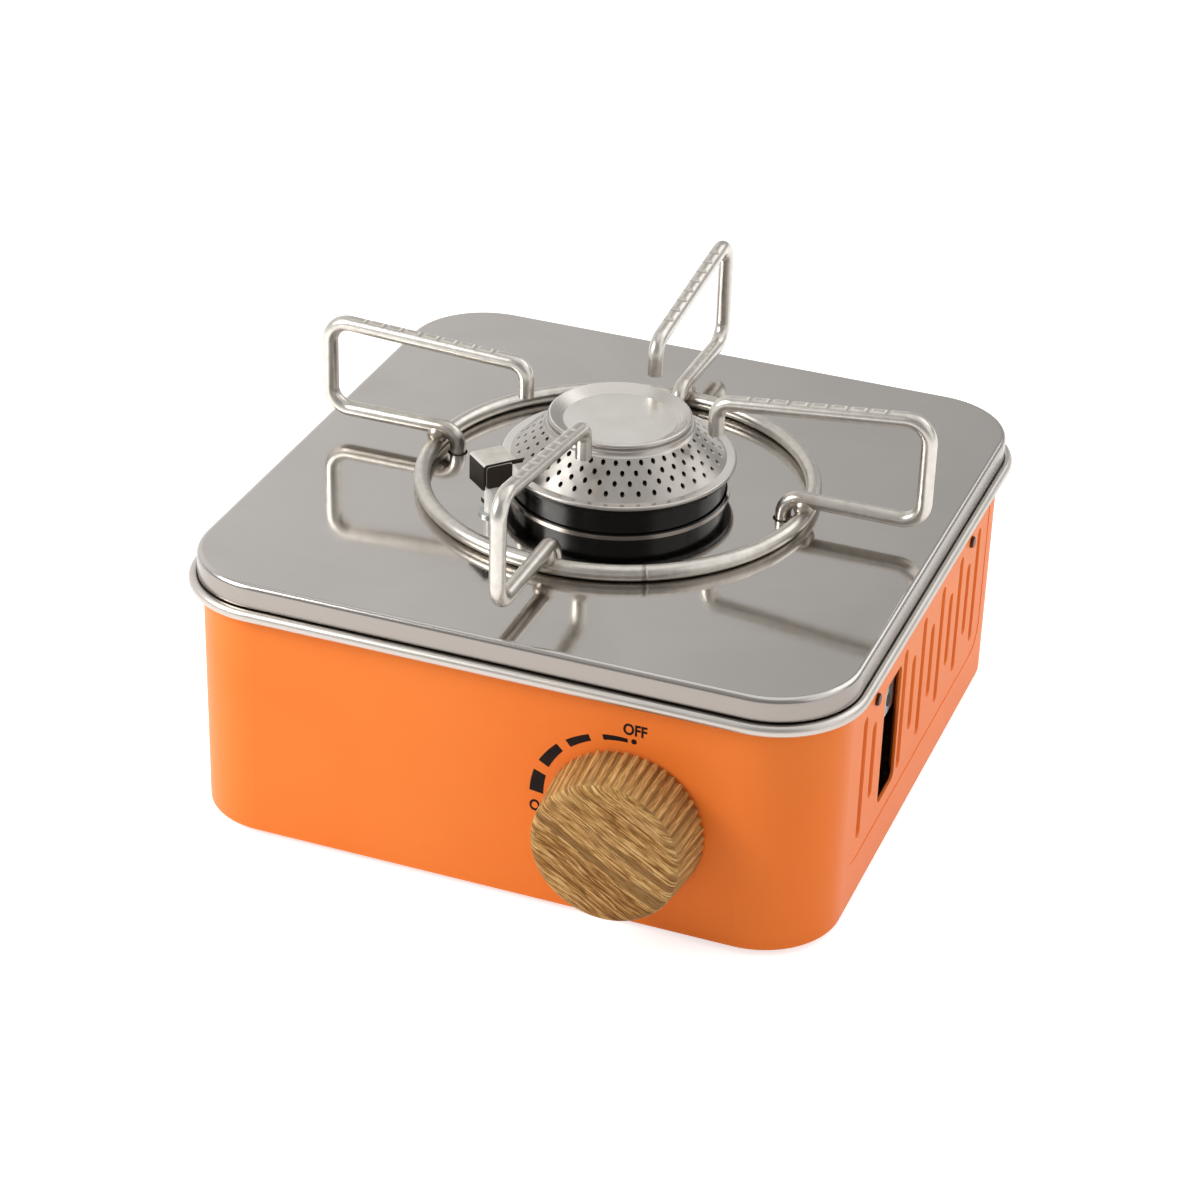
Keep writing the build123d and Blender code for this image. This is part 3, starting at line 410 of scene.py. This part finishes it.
# Plain surfaces: light colour, dark colour, range of roughness, scale of the grain, and other settings
metal = {"metallic": 1.0}
plain_surfaces = {
    "black_bowl": (srgb(6, 5, 5), srgb(12, 11, 10), (0.16, 0.26), 500,
                   {"depth": 0.000004, "specular_ior_level": 0.3}),
    "dark_screw": (srgb(96, 60, 44), srgb(62, 42, 34), (0.35, 0.5), 1500, metal),
    # Painted shade: the spark electrode is near black, standing in for the shade behind the hood
    "electrode_shade": (srgb(56, 49, 44), srgb(36, 32, 29), (0.4, 0.55), 1500, metal),
    "spring_steel": (srgb(176, 174, 170), srgb(150, 148, 145), (0.25, 0.35), 600, metal),
    "ceramic_white": (srgb(252, 250, 246), srgb(242, 239, 232), (0.14, 0.24), 300, {"coat_weight": 0.4}),
    "brass": (srgb(214, 178, 104), srgb(190, 150, 80), (0.22, 0.34), 900, metal),
    "copper_pipe": (srgb(206, 138, 104), srgb(178, 110, 78), (0.22, 0.36), 700, metal),
    "die_cast": (srgb(190, 190, 190), srgb(168, 168, 168), (0.4, 0.55), 700, metal),
    "rubber": (srgb(40, 39, 38), srgb(30, 29, 28), (0.6, 0.75), 900, {}),
    "black_plastic": (srgb(44, 43, 42), srgb(34, 33, 32), (0.4, 0.5), 1200, {}),
    "dial_ink": (srgb(40, 30, 26), srgb(30, 22, 20), (0.6, 0.75), 1600,
                 {"depth": 0.000004, "specular_ior_level": 0.1}),
}
grains_per_patch = 14


def plain_surface(name, light, dark, rough, grain, depth=0.00002, **sockets):
    """A surface whose roughness and height vary with its grain, and its colour in wider patches."""
    shader = Shader(name, **sockets)
    fine = shader.noise(grain, detail=4.0)
    broad = shader.noise(grain / grains_per_patch, detail=2.0)
    shader.set("Base Color", shader.blend(shader.spread(broad), light, dark))
    shader.set("Roughness", shader.spread(fine, new=rough))
    shader.bump(fine, depth)
    return shader.material


def make_materials():
    """Every material, under its slot in the record or under a name of its own."""
    materials = {
        "orange_paint": orange_paint(),
        "polished_steel": mirror_steel(
            "plate_steel", light=srgb(200, 196, 192), dark=srgb(194, 190, 185), steep_shade=srgb(150, 143, 137),
            rough=(0.06, 0.11), brushed=(6, 900, 900)),
        "rim_steel": mirror_steel(
            "rim_steel", light=srgb(212, 208, 202), dark=srgb(200, 195, 188), steep_shade=srgb(188, 182, 175),
            rough=(0.2, 0.28), brushed=(60, 60, 900)),
        "wire_steel": wire_steel(),
        "burner_steel": burner_steel(),
        "hood_steel": hood_steel(),
        "galvanised": galvanised(),
        "wood_grain": wood_grain(),
    }
    for name, (light, dark, rough, grain, settings) in plain_surfaces.items():
        materials[name] = plain_surface(name, light, dark, rough, grain, **settings)
    return materials


def dress_nodes(materials):
    """Gives each CAD node the material of its slot in the record, or one of its own."""
    # The spark electrode takes the near-black painted shade
    own = {"rim_bead": "rim_steel", "spark_electrode": "electrode_shade"}
    for subpart in frame["record"]["subparts"]:
        name = subpart["node"]
        mesh = nodes[name].data
        mesh.materials.clear()
        mesh.materials.append(materials[own.get(name, subpart["material_slot"])])


def prism(outline, start, end):
    """A closed prism between two copies of an outline, one moved by the start and one by the end."""
    shape = bmesh.new()
    first = [shape.verts.new(Vector(point) + Vector(start)) for point in outline]
    second = [shape.verts.new(Vector(point) + Vector(end)) for point in outline]
    shape.faces.new(first)
    shape.faces.new(reversed(second))
    for i in range(len(outline)):
        j = (i + 1) % len(outline)
        shape.faces.new((first[i], second[i], second[j], first[j]))
    bmesh.ops.recalc_face_normals(shape, faces=shape.faces)
    return shape


# Dial print on the front wall round the knob. A segment runs from its start to its end, each a turn in
# degrees with an inner and an outer radius. A word's corner is its lower left one, in X and Z from the
# knob's middle
ink_sink = 0.00002
ink_proud = 0.00004
dial_segments = (
    ((173.0, 0.0229, 0.0268), (158.8, 0.0237, 0.0273)),
    ((152.1, 0.0242, 0.0274), (135.7, 0.0246, 0.02715)),
    ((129.4, 0.0245, 0.0268), (114.3, 0.0244, 0.0263)),
    ((105.9, 0.0243, 0.0259), (90.5, 0.0241, 0.0252)),
)
segment_steps = 10
dot_turn = 86.6
dot_distance = 0.0248
dot_radius = 0.00075
dot_steps = 40
letter_height = 0.0034
letter_stretch = 0.82
letter_weight = 0.03
off_corner = (-0.0015, 0.0264)
on_corner = (-0.0265, -0.0029)


def on_dial(radius, turn):
    return knob_x + radius * cos(radians(turn)), knob_z + radius * sin(radians(turn))


def place_print(name, mesh, ink):
    mesh.materials.clear()
    mesh.materials.append(ink)
    piece = bpy.data.objects.new(name, mesh)
    bpy.context.scene.collection.objects.link(piece)
    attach(piece, "stove")


def inked(name, outline, ink):
    """A thin closed print on the front wall, from its outline in X and Z."""
    flat = [(x, 0, z) for x, z in outline]
    shape = prism(flat, (0, front_wall + ink_sink, 0), (0, front_wall - ink_proud, 0))
    mesh = bpy.data.meshes.new(name)
    shape.to_mesh(mesh)
    shape.free()
    place_print(name, mesh, ink)


def dial_scale(ink):
    """The tapered segments from ON to OFF, and the dot at OFF."""
    for number, (start, end) in enumerate(dial_segments):
        steps = [Vector(start).lerp(Vector(end), i / segment_steps) for i in range(segment_steps + 1)]
        outline = [on_dial(inner, turn) for turn, inner, outer in steps]
        outline += [on_dial(outer, turn) for turn, inner, outer in reversed(steps)]
        inked(f"dial_segment_{number + 1}", outline, ink)
    centre = Vector(on_dial(dot_distance, dot_turn))
    ring = [radians(360 * i / dot_steps) for i in range(dot_steps)]
    inked("dial_dot", [centre + dot_radius * Vector((cos(turn), sin(turn))) for turn in ring], ink)


def dial_word(name, text, corner, ink):
    letters = bpy.data.curves.new(name, "FONT")
    letters.body = text
    letters.offset = letter_weight
    letters.extrude = (ink_sink + ink_proud) / 2
    draft = bpy.data.objects.new(name, letters)
    mesh = bpy.data.meshes.new_from_object(draft)
    bpy.data.objects.remove(draft)
    xs = [vertex.co.x for vertex in mesh.vertices]
    ys = [vertex.co.y for vertex in mesh.vertices]
    scale = letter_height / (max(ys) - min(ys))
    sizes = Matrix.Diagonal((scale * letter_stretch, scale, 1, 1))
    mesh.transform(sizes @ Matrix.Translation((-min(xs), -min(ys), 0)))
    upright = Matrix.Rotation(radians(90), 4, "X")
    place = (knob_x + corner[0], front_wall + (ink_sink - ink_proud) / 2, knob_z + corner[1])
    mesh.transform(Matrix.Translation(place) @ upright)
    place_print(name, mesh, ink)


def dial_print(ink):
    dial_scale(ink)
    dial_word("word_off", "OFF", off_corner, ink)
    dial_word("word_on", "ON", on_corner, ink)


# Hood over the spark electrode, laid out with X away from the burner, Y towards its front side and Z up
hood_half = 0.00475
hood_drop = 0.0078
hood_sheet = 0.0007
hood_fold = 0.0009
fold_steps = 4
panel_inset = 0.0006
panel_corner = 0.0011
corner_steps = 4
panel_edge = hood_sheet / 4
edge_steps = 2
leg_middle = -0.00265
leg_width = 0.0034
leg_foot = 0.0036


def rounded(shape, edges, offset, steps):
    bmesh.ops.bevel(shape, geom=edges, offset=offset, segments=steps, profile=0.5, affect="EDGES")


def hood_cover():
    """A sheet folded over the top, the outer side and the far side."""
    shape = bmesh.new()
    top, low = hood_high.z, hood_high.z - hood_drop
    inner, outer = -hood_half, hood_half
    far, near = -hood_half, hood_half
    top_places = ((inner, far, top), (outer, far, top), (outer, near, top), (inner, near, top))
    low_places = ((inner, far, low), (outer, far, low), (outer, near - panel_inset, low))
    top_inner_far, top_outer_far, top_outer_near, top_inner_near = map(shape.verts.new, top_places)
    low_inner_far, low_outer_far, low_outer_near = map(shape.verts.new, low_places)
    shape.faces.new((top_inner_far, top_outer_far, top_outer_near, top_inner_near))
    shape.faces.new((top_outer_far, low_outer_far, low_outer_near, top_outer_near))
    shape.faces.new((top_inner_far, low_inner_far, low_outer_far, top_outer_far))
    folds = [edge for edge in shape.edges if len(edge.link_faces) == 2]
    rounded(shape, folds, hood_fold, fold_steps)
    bmesh.ops.recalc_face_normals(shape, faces=shape.faces)
    bmesh.ops.solidify(shape, geom=shape.faces, thickness=hood_sheet)
    return shape


def hood_panel():
    """The front side: a set-in panel with rounded corners and softened edges."""
    low = hood_high.z - hood_drop + panel_corner
    high = hood_high.z - hood_sheet - panel_inset / 2 - panel_corner
    inner = -hood_half + panel_inset + panel_corner
    outer = hood_half - hood_sheet - panel_inset / 2 - panel_corner
    outline = []
    for x, z, start in ((outer, high, 0), (inner, high, 90), (inner, low, 180), (outer, low, 270)):
        for i in range(corner_steps + 1):
            turn = radians(start + 90 * i / corner_steps)
            outline.append((x + panel_corner * cos(turn), 0, z + panel_corner * sin(turn)))
    front = hood_half - panel_inset
    shape = prism(outline, (0, front, 0), (0, front - hood_sheet, 0))
    rim = [edge for edge in shape.edges if edge.verts[0].co.y == edge.verts[1].co.y]
    rounded(shape, rim, panel_edge, edge_steps)
    return shape


def hood_leg():
    """A bent leg from the far side down to the top plate."""
    back, front = -hood_half, -hood_half + hood_sheet
    toe = back - leg_foot
    low = hood_high.z - hood_drop
    floor = hood_low.z
    instep = floor + hood_sheet
    profile = ((front, low), (back, low), (back, instep), (toe, instep), (toe, floor), (front, floor))
    outline = [(0, y, z) for y, z in profile]
    return prism(outline, (leg_middle - leg_width / 2, 0, 0), (leg_middle + leg_width / 2, 0, 0))


def spark_hood(steel):
    """The hood's three pieces of sheet as one mesh, turned to face away from the burner."""
    mesh = bpy.data.meshes.new("spark_hood_sheet")
    whole = bmesh.new()
    for shape in (hood_cover(), hood_panel(), hood_leg()):
        part = bpy.data.meshes.new("hood_part")
        shape.to_mesh(part)
        shape.free()
        whole.from_mesh(part)
        bpy.data.meshes.remove(part)
    turn = Matrix((hood_away, hood_beside, Vector((0, 0, 1)))).transposed().to_4x4()
    bmesh.ops.transform(whole, matrix=Matrix.Translation((hood_x, hood_y, 0)) @ turn, verts=whole.verts)
    whole.to_mesh(mesh)
    whole.free()
    mesh.materials.append(steel)
    hood = bpy.data.objects.new("spark_hood_sheet", mesh)
    bpy.context.scene.collection.objects.link(hood)
    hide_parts("spark_hood")
    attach(hood, "stove")


# Camera, fitted to the photograph
view_azimuth = radians(19.85)
view_elevation = radians(29.85)
view_roll = radians(1.94)
view_distance = 0.90495
view_target = Vector((burner_x, burner_y, 0.042))
lens_mm = 96.746
sensor_mm = 36.0
shift = (-0.01157, -0.00048)
nearest_seen = 0.01


def make_camera():
    data = bpy.data.cameras.new("camera")
    data.lens = lens_mm
    data.sensor_width = sensor_mm
    data.shift_x, data.shift_y = shift
    data.clip_start = nearest_seen
    camera = bpy.data.objects.new("camera", data)
    bpy.context.scene.collection.objects.link(camera)
    level = cos(view_elevation)
    back = Vector((sin(view_azimuth) * level, -cos(view_azimuth) * level, sin(view_elevation)))
    camera.location = view_target + back * view_distance
    camera.rotation_mode = "QUATERNION"
    roll = Quaternion((0, 0, 1), view_roll)
    camera.rotation_quaternion = (-back).to_track_quat("-Z", "Y") @ roll
    bpy.context.scene.camera = camera


# Studio: four soft boxes, each with its place, size and watts, a pale floor, and a grey room that is
# brightest at the back left, where the top plate mirrors it
lit_place = Vector((burner_x, burner_y, 0.05))
soft_boxes = {
    "key_light": ((-0.37, -0.31, 0.36), (0.26, 0.26), 2.0),
    "side_light": ((1.2, -0.1, 0.7), (1.2, 1.2), 3.7),
    "back_light": ((0.75, 0.9, 1.0), (1.1, 0.9), 4.5),
    "top_light": ((0.1, 0.1, 1.1), (1.1, 1.1), 2.5),
}
floor_half = 30.0
floor_colour = srgb(236, 236, 236)
floor_glow = 0.66
bright_side = Vector((-0.8, 0.52, 0.3))
room_tones = ((0.0, 0.4), (0.6, 0.46), (0.74, 0.56), (0.86, 0.8), (0.94, 1.0))
room_tint = (1.0, 0.985, 0.97)


def soft_box(name, place, size, watts):
    data = bpy.data.lights.new(name, "AREA")
    data.shape = "RECTANGLE"
    data.size, data.size_y = size
    data.energy = watts
    lamp = bpy.data.objects.new(name, data)
    lamp.location = place
    lamp.rotation_mode = "QUATERNION"
    lamp.rotation_quaternion = (lit_place - Vector(place)).to_track_quat("-Z", "Y")
    bpy.context.scene.collection.objects.link(lamp)


def make_floor():
    """White where it is seen, straight or in metal, and still darkened by the stove's shadow."""
    mesh = bpy.data.meshes.new("floor")
    corners = [(x * floor_half, y * floor_half, 0) for x, y in ((-1, -1), (1, -1), (1, 1), (-1, 1))]
    mesh.from_pydata(corners, [], [(0, 1, 2, 3)])
    floor = bpy.data.objects.new("floor", mesh)
    bpy.context.scene.collection.objects.link(floor)
    shader = Shader("floor", base_color=floor_colour, roughness=0.9, specular_ior_level=0.0)
    seen = shader.add("ShaderNodeLightPath").outputs
    shown = shader.math("MAXIMUM", seen["Is Camera Ray"], seen["Is Glossy Ray"])
    shown = shader.math("MAXIMUM", shown, seen["Is Transmission Ray"])
    shader.set("Emission Color", (1, 1, 1, 1))
    shader.set("Emission Strength", shader.math("MULTIPLY", shown, floor_glow))
    mesh.materials.append(shader.material)


def make_world():
    world = bpy.data.worlds.new("room")
    world.use_nodes = True
    tree = world.node_tree
    background = tree.nodes["Background"]
    place = tree.nodes.new("ShaderNodeTexCoord")
    facing = tree.nodes.new("ShaderNodeVectorMath")
    facing.operation = "DOT_PRODUCT"
    facing.inputs[1].default_value = bright_side
    ramp = tree.nodes.new("ShaderNodeValToRGB")
    set_stops(ramp, [(at, (*(tone * tint for tint in room_tint), 1)) for at, tone in room_tones])
    tree.links.new(place.outputs["Generated"], facing.inputs[0])
    tree.links.new(facing.outputs["Value"], ramp.inputs["Fac"])
    tree.links.new(ramp.outputs["Color"], background.inputs["Color"])
    bpy.context.scene.world = world


def make_studio():
    for name, (place, size, watts) in soft_boxes.items():
        soft_box(name, place, size, watts)
    make_floor()
    make_world()
    bpy.context.scene.view_settings.view_transform = "Standard"


materials = make_materials()
dress_nodes(materials)
dial_print(materials["dial_ink"])
spark_hood(materials["hood_steel"])
make_camera()
make_studio()
